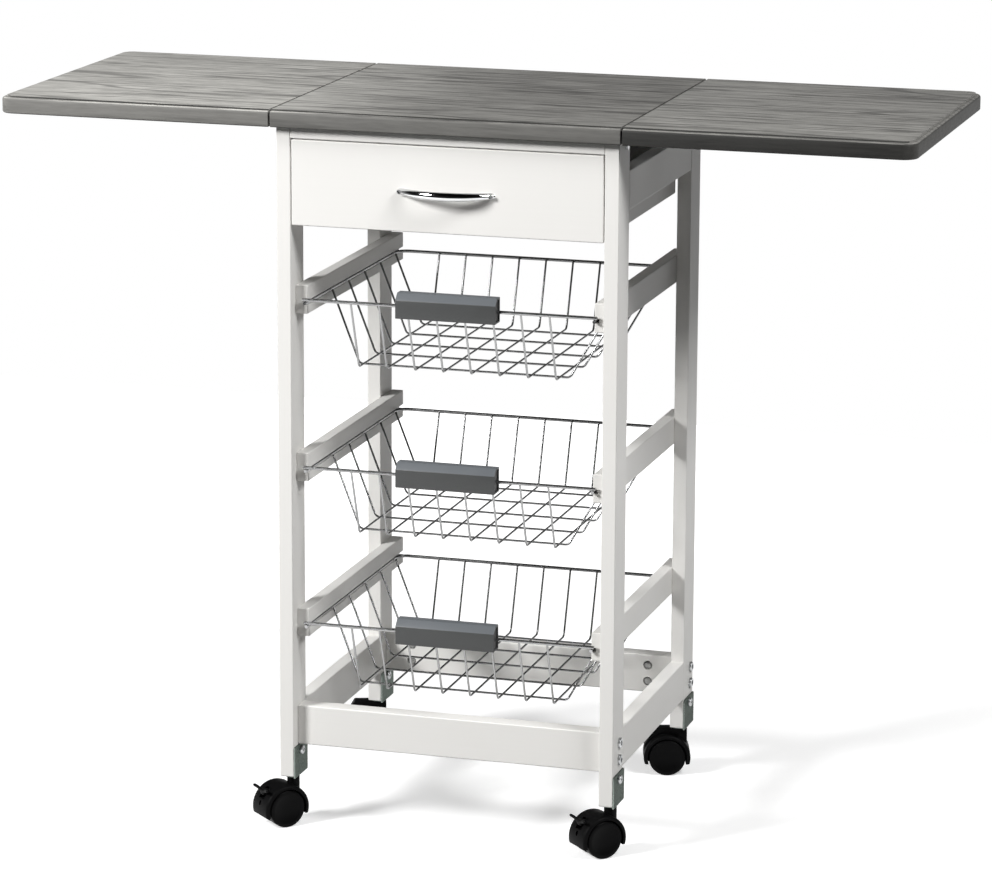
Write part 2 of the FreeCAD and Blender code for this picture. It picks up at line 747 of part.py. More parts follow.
grip_block = grip_body.newObject("PartDesign::AdditiveBox", "grip_block")
bind(grip_block, "Length", "grip_wide")
bind(grip_block, "Width", "grip_front + grip_rear")
bind(grip_block, "Height", "grip_rise + grip_fall")
place(grip_block, "-grip_wide / 2", "-grip_front", "-grip_fall")
doc.recompute()
crest = [
    f"Edge{i}" for i, edge in enumerate(grip_block.Shape.Edges, start=1)
    if edge.BoundBox.XLength > value("grip_wide") / 2
    and edge.CenterOfMass.y < 0 and edge.CenterOfMass.z > 0
]
slope = grip_body.newObject("PartDesign::Chamfer", "grip_slope")
slope.Base = (grip_block, crest)
slope.ChamferType = "Two distances"
bind(slope, "Size", "grip_slope_fall")
bind(slope, "Size2", "grip_slope_run")
rounded(grip_body, slope, "grip_round")
grip_cut("grip_slot", ("-seat", "seat"), ("-seat - grip_seat", "seat"))
grip_cut("grip_hollow", ("-grip_front + grip_wall", "grip_rear + cut_over"),
         ("-grip_fall - cut_over", "-seat"))
grip_cut("grip_lip", ("seat - grip_room", "grip_rear + cut_over"), ("-grip_fall", "wire_radius"))

for level, middle in levels.items():
    rim_z = f"{middle} - groove_drop"
    wires = group(f"basket_{level}", [rim, front_bar, long_row, cross_row])
    node(place(wires, "0", "0", rim_z), f"basket_wires_{level}")
    grip_copy = group(f"grip_{level}", [grip_body])
    node(place(grip_copy, "0", "bar_front", f"{rim_z} + bar_rise"), f"basket_grip_{level}")

# casters, each made about its own swivel axis and then set under a leg


def puck(name, radius, wide, y, round_radius):
    # a disc across the caster with rounded rims
    body = doc.addObject("PartDesign::Body", name)
    disc = body.newObject("PartDesign::AdditiveCylinder", f"{name}_disc")
    bind(disc, "Radius", radius)
    bind(disc, "Height", wide)
    rounded(body, disc, round_radius)
    turn(body, *headings["y"])
    return place(body, "axle_x", y, "wheel_radius")


def hood_spine(name):
    # a flat-topped ridge between the wheels that slopes down behind
    body = doc.addObject("PartDesign::Body", name)
    ridge = body.newObject("PartDesign::AdditiveBox", f"{name}_ridge")
    bind(ridge, "Length", "-spine_back")
    bind(ridge, "Width", "spine_wide")
    bind(ridge, "Height", "hood_top - spine_drop - wheel_radius")
    doc.recompute()
    box = ridge.Shape.BoundBox
    back = [
        f"Edge{i}" for i, edge in enumerate(ridge.Shape.Edges, start=1)
        if edge.BoundBox.YLength > box.YLength / 2
        and edge.CenterOfMass.x < box.Center.x and edge.CenterOfMass.z > box.Center.z
    ]
    slope = body.newObject("PartDesign::Chamfer", f"{name}_slope")
    slope.Base = (ridge, back)
    slope.ChamferType = "Two distances"
    bind(slope, "Size", "spine_slope_fall")
    bind(slope, "Size2", "spine_slope_run")
    return place(body, "spine_back", "-spine_wide / 2", "wheel_radius")


def caster_hood(name, braked):
    drum = puck(f"{name}_drum", "hood_radius", "hood_wide", "-hood_wide / 2", "hood_round")
    neck = rod(f"{name}_neck", "neck_radius", "z", "hood_top - wheel_radius", "0", "0", "wheel_radius")
    tools = []
    for side, sy in sides.items():
        start = f"{sy} * web_thick / 2"
        heading = "y" if sy > 0 else "-y"
        tools.append(rod(
            f"{name}_pocket_{side}", "pocket_radius", heading, "hood_wide", "axle_x", start, "wheel_radius"))
    wide = ("axle_x - 2 * hood_radius", "axle_x + 2 * hood_radius")
    tools.append(block(f"{name}_below", wide, ("-hood_wide", "hood_wide"),
                       ("-hood_radius", "wheel_radius - hood_skirt")))
    tools.append(rod(f"{name}_stem_bore", "stem_radius + bore_room", "z", "stem_long + cut_over",
                     "0", "0", "hood_top - stem_long"))
    tools.append(rod(f"{name}_axle_bore", "axle_radius + bore_room", "y", "hood_wide",
                     "axle_x", "-hood_wide / 2", "wheel_radius"))
    if braked:
        slot_y = around("0", "brake_wide + 2 * brake_slot_room")
        tools.append(block(
            f"{name}_brake_slot", ("axle_x - 2 * hood_radius", "brake_x + brake_slot_up"), slot_y,
            ("brake_z - brake_slot_down", "brake_z + brake_slot_up")))
        tools.append(rod(
            f"{name}_brake_bore", "brake_pin_radius + bore_room", "y", "brake_pin_long + cut_over",
            "brake_x", "-(brake_pin_long + cut_over) / 2", "brake_z"))
    solids = [drum, neck] if braked else [drum, neck, hood_spine(f"{name}_spine")]
    body = join(f"{name}_solid", solids)
    for index, tool in enumerate(tools):
        body = cut(f"{name}_cut_{index}", body, [tool])
    return body


hoods = {"front": caster_hood("hood_front", True), "rear": caster_hood("hood_rear", False)}
wheels = []
for side, sy in sides.items():
    low = "wheel_near" if sy > 0 else "-(wheel_near + wheel_wide)"
    tyre = puck(f"wheel_{side}_tyre", "wheel_radius", "wheel_wide", low, "wheel_round")
    heading = "y" if sy > 0 else "-y"
    hub = rod(f"wheel_{side}_hub", "hub_radius", heading, "wheel_wide",
              "axle_x", f"{sy} * (wheel_near + wheel_wide - hub_sunk)", "wheel_radius")
    bore = rod(f"wheel_{side}_bore", "axle_radius + bore_room", heading, "wheel_wide - 2 * hub_sunk",
               "axle_x", f"{sy} * (wheel_near - hub_sunk)", "wheel_radius")
    wheels.append(cut(f"wheel_{side}", tyre, [hub, bore]))
axle = rod("axle", "axle_radius", "y", "2 * axle_half", "axle_x", "-axle_half", "wheel_radius")
fork_x = ("brake_x - brake_long - cut_over", "brake_x - brake_long + brake_fork_deep")
brake = cut("brake_lever", join("brake_solid", [
    rod("brake_pin", "brake_pin_radius", "y", "brake_pin_long", "brake_x", "-brake_pin_long / 2", "brake_z"),
    rod("brake_hub", "brake_hub_radius", "y", "brake_wide", "brake_x", "-brake_wide / 2", "brake_z"),
    block("brake_tab", ("brake_x - brake_long", "brake_x"), around("0", "brake_wide"),
          around("brake_z", "brake_thick")),
]), [block("brake_fork", fork_x, around("0", "brake_fork_wide"), around("brake_z", "2 * brake_thick"))])

stems = []
brackets = []
bracket_screws = []
for end, sy in ends.items():
    for side, sx in sides.items():
        corner = f"{end}_{side}"
        x, y = f"{sx} * leg_mid", f"{sy} * leg_axis"
        pieces = {"hood": [hoods[end]], "wheels": wheels + [axle]}
        if end == "front":
            pieces["brake"] = [brake]
        for kind, solids in pieces.items():
            item = place(group(f"caster_{kind}_{corner}_placed", solids), x, y)
            bind(item, ".Placement.Rotation.Angle", f"{corner}_turn")
            node(item, f"caster_{kind}_{corner}")
        stems.append(rod(f"stem_{corner}", "stem_radius", "z", "foot_height - stem_low", x, y, "stem_low"))
        hole = rod(f"stem_hole_{corner}", "stem_radius + bore_room", "z", "foot_height", x, y, "0")
        plate_x = (f"{x} - leg_thick / 2", f"{x} + leg_thick / 2 + bracket_thick")
        angle = block(f"bracket_block_{corner}", plate_x, around(y, "leg_deep"), ("plate_low", "plate_top"))
        inside = block(f"bracket_inside_{corner}", (f"{x} - leg_thick", f"{x} + leg_thick / 2"),
                       around(y, "2 * leg_deep"), ("foot_height", "plate_top + cut_over"))
        name = f"bracket_screw_{corner}"
        bracket_screws.append(headed(
            name, "screw_radius", screw_head, "-x", "bracket_thick + bracket_screw_reach",
            plate_x[1], y, "plate_top - bracket_screw_drop", [f"leg_{corner}"]))
        body = angle
        for index, tool in enumerate((inside, hole, doc.getObject(f"{name}_shank_hole"))):
            body = cut(f"bracket_{corner}_{index}", body, [tool])
        brackets.append(body)

# bore the pieces, and gather those that share a node
finished = {
    name: cut(f"{name}_bored", piece, bores[name]) if name in bores else piece
    for name, piece in boards.items()
}
gathered = {
    "frame_bolts": bolts,
    "barrel_nuts": nuts,
    "frame_screws": screws,
    "wood_dowels": dowels,
    "hinge_pins": hinge_pins,
    "hinge_screws": hinge_screws,
    "caster_stems": stems,
    "caster_brackets": brackets,
    "caster_bracket_screws": bracket_screws,
    "handle_screws": handle_screws,
    "drawer_runners": [finished.pop(f"drawer_runner_{side}") for side in sides],
    "hinge_plates_center": [finished.pop(f"hinge_fixed_{end}_{side}") for side in sides for end in ends],
}
for side in sides:
    plates = [finished.pop(f"hinge_leaf_{end}_{side}") for end in ends]
    gathered[f"hinge_plates_leaf_{side}"] = plates + leaf_screws[side]
for name, piece in finished.items():
    node(piece, name)
for name, solids in gathered.items():
    node(group(f"{name}_group", solids), name)

doc.recompute()
failed = [item.Name for item in doc.Objects if "Invalid" in item.State or "Error" in item.State]
for item in nodes:
    if item.Shape.isNull() or not item.Shape.isValid() or not item.Shape.Solids:
        failed.append(item.Label)
if failed:
    raise RuntimeError(f"pieces that failed: {failed}")

os.makedirs("parts", exist_ok=True)
for item in nodes:
    item.Shape.exportStep(f"parts/{item.Label}.step")
print(len(nodes), "nodes,", sum(len(item.Shape.Solids) for item in nodes), "solids")
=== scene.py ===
import bmesh
import bpy
import json
import math
from mathutils import Matrix, Vector


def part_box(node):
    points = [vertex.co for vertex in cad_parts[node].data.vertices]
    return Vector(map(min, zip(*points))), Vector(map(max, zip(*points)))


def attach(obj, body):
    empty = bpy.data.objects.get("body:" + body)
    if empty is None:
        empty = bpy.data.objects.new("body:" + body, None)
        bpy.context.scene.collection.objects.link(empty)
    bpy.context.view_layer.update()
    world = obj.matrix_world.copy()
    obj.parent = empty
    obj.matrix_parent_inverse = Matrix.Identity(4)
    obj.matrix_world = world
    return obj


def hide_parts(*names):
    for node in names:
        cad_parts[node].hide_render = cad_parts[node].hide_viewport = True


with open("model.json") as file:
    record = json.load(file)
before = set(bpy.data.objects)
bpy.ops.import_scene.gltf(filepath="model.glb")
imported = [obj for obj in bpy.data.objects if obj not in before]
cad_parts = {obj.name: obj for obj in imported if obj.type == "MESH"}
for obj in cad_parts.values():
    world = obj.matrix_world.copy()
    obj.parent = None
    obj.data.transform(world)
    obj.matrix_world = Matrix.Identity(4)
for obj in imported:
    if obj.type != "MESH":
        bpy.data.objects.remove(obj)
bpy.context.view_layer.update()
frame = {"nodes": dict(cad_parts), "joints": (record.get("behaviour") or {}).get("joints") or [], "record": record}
nodes = frame["nodes"]
joints = {joint["name"]: joint for joint in frame["joints"]}
sides = {"left": -1, "right": 1}
ends = ("front", "rear")
levels = ("upper", "middle", "lower")
corners = [f"{end}_{side}" for end in ends for side in sides]
print("frame loaded:", len(nodes), "nodes")


# shader sums

class Link:
    # an output socket; sums of links and numbers add Math nodes
    def __init__(self, finish, socket):
        self.finish = finish
        self.socket = socket

    def calc(self, operation, first, second):
        return self.finish.node("ShaderNodeMath", {"operation": operation}, [first, second])

    def __add__(self, other):
        return self.calc("ADD", self, other)

    def __radd__(self, other):
        return self.calc("ADD", other, self)

    def __sub__(self, other):
        return self.calc("SUBTRACT", self, other)

    def __rsub__(self, other):
        return self.calc("SUBTRACT", other, self)

    def __mul__(self, other):
        return self.calc("MULTIPLY", self, other)

    def __rmul__(self, other):
        return self.calc("MULTIPLY", other, self)

    def __gt__(self, other):
        return self.calc("GREATER_THAN", self, other)

    def __lt__(self, other):
        return self.calc("LESS_THAN", self, other)


class Shader:
    # adds nodes to a tree
    def __init__(self, tree):
        self.tree = tree

    def node(self, kind, settings=None, inputs=(), output=0):
        item = self.tree.nodes.new(kind)
        for key, setting in (settings or {}).items():
            if key == "stops":
                ramp = item.color_ramp.elements
                for index, (spot, shade) in enumerate(setting):
                    stop = ramp[index] if index < len(ramp) else ramp.new(spot)
                    stop.position = spot
                    stop.color = (*shade, 1) if isinstance(shade, tuple) else (shade, shade, shade, 1)
            else:
                setattr(item, key, setting)
        for key, value in (inputs.items() if isinstance(inputs, dict) else enumerate(inputs)):
            if isinstance(value, Link):
                self.tree.links.new(value.socket, item.inputs[key])
            else:
                item.inputs[key].default_value = value
        return Link(self, item.outputs[output])

    def rays(self, *kinds):
        # 1 for rays of these kinds
        flags = [self.node("ShaderNodeLightPath", output=f"Is {kind} Ray") for kind in kinds]
        total = flags[0]
        for flag in flags[1:]:
            total = total.calc("MAXIMUM", total, flag)
        return total

    def part(self, vector, axis):
        return self.node("ShaderNodeSeparateXYZ", {}, [vector], output=axis)

    def span(self, value, source, target, curve="LINEAR"):
        # maps one range on another and stops at its ends
        return self.node("ShaderNodeMapRange", {"interpolation_type": curve}, {
            "Value": value, "From Min": source[0], "From Max": source[1],
            "To Min": target[0], "To Max": target[1]})


socketNames = {
    "color": "Base Color",
    "roughness": "Roughness",
    "metallic": "Metallic",
    "normal": "Normal",
    "specular": "Specular IOR Level",
    "specularTint": "Specular Tint",
    "glow": "Emission Color",
    "glowStrength": "Emission Strength",
}


class Finish(Shader):
    # one procedural material on Object coordinates
    def __init__(self, name):
        self.material = bpy.data.materials.new(name)
        self.material.use_nodes = True
        super().__init__(self.material.node_tree)
        self.shader = self.tree.nodes["Principled BSDF"]
        self.place = self.node("ShaderNodeTexCoord", output="Object")

    def stretch(self, scale, shift=(0, 0, 0)):
        return self.node("ShaderNodeMapping", {}, {
            "Vector": self.place, "Location": shift, "Scale": scale})

    def noise(self, vector, scale=1.0, detail=4.0, rough=0.55):
        return self.node("ShaderNodeTexNoise", {}, {
            "Vector": vector, "Scale": scale, "Detail": detail, "Roughness": rough})

    def ramp(self, value, *stops):
        return self.node("ShaderNodeValToRGB", {"stops": stops}, {"Fac": value})

    def mix(self, share, first, second):
        item = {0: share, 6: first if isinstance(first, Link) else (*first, 1),
                7: second if isinstance(second, Link) else (*second, 1)}
        return self.node("ShaderNodeMix", {"data_type": "RGBA"}, item, output=2)

    def tint(self, colour, tone):
        # a colour times a tone
        return self.node("ShaderNodeMix", {"data_type": "RGBA", "blend_type": "MULTIPLY"},
                         {0: 1.0, 6: colour, 7: tone}, output=2)

    def bump(self, height, strength, distance):
        return self.node("ShaderNodeBump", {}, {
            "Height": height, "Strength": strength, "Distance": distance})

    def set(self, **sockets):
        for key, value in sockets.items():
            socket = self.shader.inputs[socketNames[key]]
            if isinstance(value, Link):
                self.tree.links.new(value.socket, socket)
            else:
                socket.default_value = (*value, 1) if isinstance(value, tuple) else value
        return self.material


def along(axis, slow, fast):
    # texture scale of a streak that runs along an axis: few waves along it, many across
    scale = [fast, fast, fast]
    scale[axis] = slow
    return scale


# finishes

lacquer = {
    "light": (0.83, 0.82, 0.795),
    "shade": (0.78, 0.767, 0.74),
    "blotch": 7.0,
    "blotchShare": 0.7,
    "grainSlow": 8.0,
    "grainFast": 520.0,
    "grainBump": 0.10,
    "bumpDepth": 0.0003,
    "gloss": 0.34,
    "glossSpread": 0.14,
    "sheen": 0.14,
}


def whiteLacquer(name, axis):
    paint = Finish(name)
    grain = paint.noise(paint.stretch(along(axis, lacquer["grainSlow"], lacquer["grainFast"])), detail=5)
    blotch = paint.noise(paint.place, scale=lacquer["blotch"], detail=3)
    share = blotch * lacquer["blotchShare"] + grain * (1 - lacquer["blotchShare"])
    return paint.set(
        color=paint.mix(share, lacquer["light"], lacquer["shade"]),
        specular=lacquer["sheen"],
        roughness=lacquer["gloss"] + blotch * lacquer["glossSpread"],
        normal=paint.bump(grain, lacquer["grainBump"], lacquer["bumpDepth"]))


board = {
    "light": (0.37, 0.363, 0.342),
    "dark": (0.165, 0.162, 0.153),
    "pore": (0.050, 0.049, 0.047),
    # waves per metre along and across the grain, then detail and roughness of the noise
    "ring": (1.1, 11.0, 2, 0.55),
    "streak": (7.0, 150.0, 4, 0.65),
    "fibre": (40.0, 420.0, 3, 0.6),
    "pores": (9.0, 170.0, 2, 0.5),
    "patch": (4.0, 12.0, 2, 0.55),
    "ringCount": 5,
    "ringWide": 0.018,
    "ringSoft": 4,
    "ringShare": 0.55,
    "poreRange": (0.20, 0.29),
    "porePatch": 0.3,
    "poreShare": 0.62,
    "streakShare": 0.55,
    "lightRange": (0.37, 0.63),
    # where the top ends and the edge begins, by the height of the normal
    "flatRange": (0.55, 0.80),
    "endRange": (0.15, 0.95),
    "edgeShare": 0.35,
    "edgeLight": 0.5,
    # painted light: the span in x over which the top goes from its left tone to its right tone
    "paintedLightSweep": (-0.22, 0.02),
    # painted shade: faces turned further down than this are near black
    "underShadeFrom": -0.6,
    "underPaintedShade": 0.12,
    "bump": 0.30,
    "bumpDepth": 0.0005,
    "gloss": 0.46,
    "glossSpread": 0.2,
    "sheen": 0.15,
}


def greyGrainAndPaintedLight(name, shift, leftPaintedLight, rightPaintedLight, edgePaintedShade, endPaintedShade):
    wood = Finish(name)
    # painted light: the top is lighter towards the left
    paintedLightSweep = wood.span(wood.part(wood.place, "X"), board["paintedLightSweep"], (leftPaintedLight, rightPaintedLight), "SMOOTHSTEP")

    def grain(key):
        slow, fast, detail, rough = board[key]
        return wood.noise(wood.stretch(along(0, slow, fast), (shift, 0, 0)), detail=detail, rough=rough)

    def rising(value, limits):
        return wood.ramp(value, (limits[0], 0.0), (limits[1], 1.0))

    def falling(value, limits):
        return wood.ramp(value, (limits[0], 1.0), (limits[1], 0.0))

    streak = grain("streak")
    fibre = grain("fibre")
    # growth rings are thin lines of equal height in a slow noise
    height = grain("ring") * board["ringCount"]
    offset = height - height.calc("ROUND", height, 0)
    ringEnds = (board["ringWide"], board["ringSoft"] * board["ringWide"])
    rings = falling(offset.calc("ABSOLUTE", offset, 0), ringEnds)
    # dark pores gather in patches
    cracks = falling(grain("pores") - grain("patch") * board["porePatch"], board["poreRange"])
    light = rising(streak * board["streakShare"] + fibre * (1 - board["streakShare"]), board["lightRange"])
    # painted shade: the long edges and the ends are darker than the top, by the direction of the normal
    normal = wood.node("ShaderNodeTexCoord", output="Normal")
    facing = wood.part(normal, "Z")
    side = wood.part(normal, "X")
    flat = rising(facing, board["flatRange"])
    # painted shade: the underside of the board is near black
    under = facing < board["underShadeFrom"]
    ending = rising(side.calc("ABSOLUTE", side, 0), board["endRange"])
    # painted light and shade: the top takes the sweep, the edges and ends their darker tones, the underside its
    # near black
    tone = flat * paintedLightSweep + (1 - flat) * (ending * endPaintedShade + (1 - ending) * edgePaintedShade)
    tone = tone * (1 - under) + under * board["underPaintedShade"]
    marks = cracks.calc("MAXIMUM", cracks * board["poreShare"], rings * board["ringShare"])
    clear = flat * (1 - board["edgeShare"]) + board["edgeShare"]
    marks = marks * clear
    light = light * clear + (1 - clear) * board["edgeLight"]
    colour = wood.mix(marks, wood.mix(light, board["dark"], board["light"]), board["pore"])
    return wood.set(
        color=wood.tint(colour, tone),
        specular=board["sheen"],
        roughness=board["gloss"] + fibre * board["glossSpread"],
        normal=wood.bump(light - marks, board["bump"], board["bumpDepth"]))


plating = {
    "dull": (0.80, 0.81, 0.82),
    "bright": (1.0, 1.0, 1.0),
    "haze": 60.0,
    "glossSpread": 0.08,
    # depth at which the front's tone turns into the rear's darker one, painted shade on the rear wires
    "rear": (-0.140, -0.095),
}


def chromePlate(name, tone, rearPaintedShade, rough):
    metal = Finish(name)
    haze = metal.noise(metal.place, scale=plating["haze"], detail=3)
    # painted shade: the tone darkens from the front to the rear
    level = metal.span(metal.part(metal.place, "Y"), plating["rear"], (tone, rearPaintedShade))
    return metal.set(
        color=metal.tint(metal.mix(haze, plating["dull"], plating["bright"]), level),
        metallic=1.0,
        roughness=rough + haze * plating["glossSpread"])


zincCoat = {
    "spangle": 260.0,
    "haze": 90.0,
    "bump": 0.06,
    "bumpDepth": 0.0002,
    "gloss": 0.24,
    "glossSpread": 0.14,
}


def zincPlate(name, dull, bright, rim):
    metal = Finish(name)
    spangle = metal.node("ShaderNodeTexVoronoi", {}, {
        "Vector": metal.place, "Scale": zincCoat["spangle"]}, output="Color")
    spark = metal.node("ShaderNodeSeparateColor", {}, {"Color": spangle})
    haze = metal.noise(metal.place, scale=zincCoat["haze"], detail=4)
    return metal.set(
        color=metal.mix(haze, dull, bright),
        specularTint=(rim, rim, rim),
        metallic=1.0,
        roughness=spark * zincCoat["glossSpread"] + zincCoat["gloss"],
        normal=metal.bump(haze, zincCoat["bump"], zincCoat["bumpDepth"]))


gripSkin = {
    "speck": 1900.0,
    "blotch": 30.0,
    "bump": 0.12,
    "bumpDepth": 0.0001,
    "gloss": 0.40,
    "glossSpread": 0.12,
}


def gripPlastic(name, dull, bright):
    plastic = Finish(name)
    speck = plastic.noise(plastic.place, scale=gripSkin["speck"], detail=2)
    blotch = plastic.noise(plastic.place, scale=gripSkin["blotch"], detail=3)
    return plastic.set(
        color=plastic.mix(blotch, dull, bright),
        roughness=gripSkin["gloss"] + blotch * gripSkin["glossSpread"],
        normal=plastic.bump(speck, gripSkin["bump"], gripSkin["bumpDepth"]))


casterSkin = {
    "dull": (0.0026, 0.0026, 0.0027),
    "bright": (0.0044, 0.0044, 0.0046),
    "speck": 1600.0,
    "blotch": 45.0,
    "bump": 0.10,
    "bumpDepth": 0.0001,
    "glossSpread": 0.12,
    "sheen": 0.05,
}


def blackPlastic(name, gloss):
    plastic = Finish(name)
    speck = plastic.noise(plastic.place, scale=casterSkin["speck"], detail=2)
    blotch = plastic.noise(plastic.place, scale=casterSkin["blotch"], detail=4)
    return plastic.set(
        color=plastic.mix(blotch, casterSkin["dull"], casterSkin["bright"]),
        specular=casterSkin["sheen"],
        roughness=gloss + blotch * casterSkin["glossSpread"],
        normal=plastic.bump(speck, casterSkin["bump"], casterSkin["bumpDepth"]))


beech = {
    "dark": (0.60, 0.44, 0.27),
    "light": (0.70, 0.55, 0.38),
    "grain": (60, 60, 60),
    "gloss": 0.55,
    "glossSpread": 0.15,
}


def bareWood(name):
    wood = Finish(name)
    grain = wood.noise(wood.stretch(beech["grain"]), detail=4)
    return wood.set(
        color=wood.mix(grain, beech["dark"], beech["light"]),
        roughness=beech["gloss"] + grain * beech["glossSpread"])


lacquers = {axis: whiteLacquer(f"whiteLacquer{axis}", "XYZ".index(axis)) for axis in "XYZ"}
chrome = chromePlate("handleChrome", tone=0.62, rearPaintedShade=0.62, rough=0.03)
# the basket wires carry painted shade, darker at the rear
wireChrome = chromePlate("wireChrome", tone=0.37, rearPaintedShade=0.24, rough=0.18)
hoodBlack = blackPlastic("hoodBlack", gloss=0.42)
wheelBlack = blackPlastic("wheelBlack", gloss=0.30)
dowelWood = bareWood("dowelWood")
zincTones = {
    # dull and bright colour, tint of the glancing light
    "boltZinc": ((0.34, 0.35, 0.36), (0.60, 0.61, 0.61), 1.0),
    "plateZinc": ((0.170, 0.195, 0.178), (0.235, 0.265, 0.245), 0.3),
    "nutZinc": ((0.19, 0.19, 0.185), (0.28, 0.28, 0.27), 0.3),
}
zinc, plateZinc, nutZinc = [zincPlate(name, *tones) for name, tones in zincTones.items()]
gripTones = {
    # dull and bright colour; the top copy is lighter, painted light on the slope, and the end copy near black,
    # painted shade in the end hollows
    "gripGrey": ((0.048, 0.050, 0.050), (0.058, 0.060, 0.060)),
    "gripGreyPaintedLight": ((0.105, 0.115, 0.125), (0.120, 0.130, 0.140)),
    "gripGreyPaintedShade": ((0.006, 0.006, 0.007), (0.009, 0.009, 0.010)),
}
grip, gripPaintedLight, gripPaintedShade = [gripPlastic(name, *tones) for name, tones in gripTones.items()]
boardPaintedTones = {
    # shift of the grain, then tones of the top's left and right, the long edges, the end and the step; all are
    # painted light and shade: the top lighter to the left, the edges and ends darker, the step a dark line
    "leaf_left": (3.1, 1.66, 1.58, 0.69, 0.80, 0.20),
    "top_center": (0.0, 1.45, 0.78, 0.54, 0.44, 0.20),
    "leaf_right": (7.7, 0.92, 0.92, 0.11, 0.24, 0.20),
}
tops = {}
# painted shade: the step's risers along the long edges are a dark line; the risers at the ends take the top's
# painted light
stepPaintedShade = {}
capPaintedLight = {}
for node, (shift, left, right, edge, end, step) in boardPaintedTones.items():
    tops[node] = greyGrainAndPaintedLight(f"grey_{node}", shift, left, right, edge, end)
    stepPaintedShade[node] = greyGrainAndPaintedLight(f"step_{node}", shift, step, step, step, end)
    capPaintedLight[node] = greyGrainAndPaintedLight(f"cap_{node}", shift, left, right, right, right)

# axis of the grain, by the start of a node's name; the longest start counts
boardAxes = {
    "leg": "Z",
    "apron": "Y",
    "foot_rail_front": "X",
    "foot_rail_rear": "X",
    "foot_rail": "Y",
    "basket_rail": "Y",
    "top_rail": "X",
    "drawer_front": "X",
    "drawer_side": "Y",
    "drawer_back": "X",
    "drawer_floor": "X",
    "drawer_runners": "Y",
}
slotFinish = {
    "chrome": chrome,
    "zinc": zinc,
    "grip_plastic": grip,
    "black_plastic": hoodBlack,
    "bare_wood": dowelWood,
}
slotOf = {row["node"]: row["material_slot"] for row in frame["record"]["subparts"]}


def finishOf(name):
    if name in tops:
        return tops[name]
    if slotOf[name] == "white_wood":
        stem = max((key for key in boardAxes if name.startswith(key)), key=len)
        return lacquers[boardAxes[stem]]
    if name.startswith("basket_wires"):
        return wireChrome
    if name.startswith("caster_wheels"):
        return wheelBlack
    return plateZinc if name == "caster_brackets" else slotFinish[slotOf[name]]


for name, item in nodes.items():
    item.data.materials.clear()
    item.data.materials.append(finishOf(name))
print("finishes set")


# modelling by hand

near = 0.0001  # metres within which two places are one
square = 0.99  # how closely a face's normal follows an axis
rimAngle = 60  # degrees, sharper than the facets of a round
smoothAngle = 35  # degrees, edges sharper than this stay sharp


def addBlock(name, low, high):
    bpy.ops.object.select_all(action="DESELECT")
    bpy.ops.mesh.primitive_cube_add(size=1, location=(low + high) / 2, scale=high - low)
    bpy.context.object.name = name
    bpy.ops.object.transform_apply(location=True, rotation=True, scale=True)
    return bpy.context.object


def addRound(name, radius, depth, spot, axis="Z", sides=48):
    turn = {"X": (0, math.pi / 2, 0), "Y": (math.pi / 2, 0, 0), "Z": (0, 0, 0)}[axis]
    bpy.ops.object.select_all(action="DESELECT")
    bpy.ops.mesh.primitive_cylinder_add(
        vertices=sides, radius=radius, depth=depth, location=spot, rotation=turn)
    bpy.context.object.name = name
    bpy.ops.object.transform_apply(location=True, rotation=True, scale=True)
    return bpy.context.object


def openMesh(piece):
    bpy.ops.object.select_all(action="DESELECT")
    piece.select_set(True)
    bpy.context.view_layer.objects.active = piece
    bpy.ops.object.mode_set(mode="EDIT")


def closeMesh():
    bpy.ops.object.mode_set(mode="OBJECT")


def pick(kind, test):
    # selects what passes the test in the open mesh
    bpy.ops.mesh.select_mode(type=kind)
    bpy.ops.mesh.select_all(action="DESELECT")
    mesh = bmesh.from_edit_mesh(bpy.context.object.data)
    for item in {"VERT": mesh.verts, "EDGE": mesh.edges, "FACE": mesh.faces}[kind]:
        if test(item):
            item.select_set(True)
    mesh.select_flush_mode()
    bmesh.update_edit_mesh(bpy.context.object.data)


def middle(item):
    return sum((vert.co for vert in item.verts), Vector()) / len(item.verts)


def sharp(edge, angle=40):
    return len(edge.link_faces) == 2 and edge.calc_face_angle(0) > math.radians(angle)


def combine(piece, other, operation):
    modifier = piece.modifiers.new("combine", "BOOLEAN")
    modifier.operation = operation
    modifier.object = other
    bpy.context.view_layer.objects.active = piece
    bpy.ops.object.modifier_apply(modifier=modifier.name)
    bpy.data.objects.remove(other)
    return piece


def copyTo(piece, name, matrix):
    bpy.ops.object.select_all(action="DESELECT")
    piece.select_set(True)
    bpy.context.view_layer.objects.active = piece
    bpy.ops.object.duplicate(linked=False)
    twin = bpy.context.object
    twin.name = name
    twin.matrix_world = matrix
    bpy.ops.object.transform_apply(location=True, rotation=True, scale=True)
    return twin


def joinAll(name, items):
    bpy.ops.object.select_all(action="DESELECT")
    for item in items:
        item.select_set(True)
    bpy.context.view_layer.objects.active = items[0]
    bpy.ops.object.join()
    items[0].name = name
    return items[0]


def fitOut(piece, body, material, replaced):
    bpy.ops.object.select_all(action="DESELECT")
    piece.select_set(True)
    bpy.context.view_layer.objects.active = piece
    bpy.ops.object.shade_smooth_by_angle(angle=math.radians(smoothAngle))
    piece.data.materials.clear()
    piece.data.materials.append(material)
    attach(piece, body)
    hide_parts(*replaced)


# worktop panels with a beaded edge

panel = {
    "lip": 0.0050,
    "step": 0.0016,
    "stepRound": 0.0004,
    "lipRound": 0.0030,
    "underRound": 0.0018,
    "cornerRound": 0.016,
    "seamRound": 0.0006,
    "seamSteps": 2,
    "pastSeam": 0.04,
    "steps": 4,
    "edgeAngle": 80,
    # a face of the step stands steeper than this
    "upright": 0.3,
}


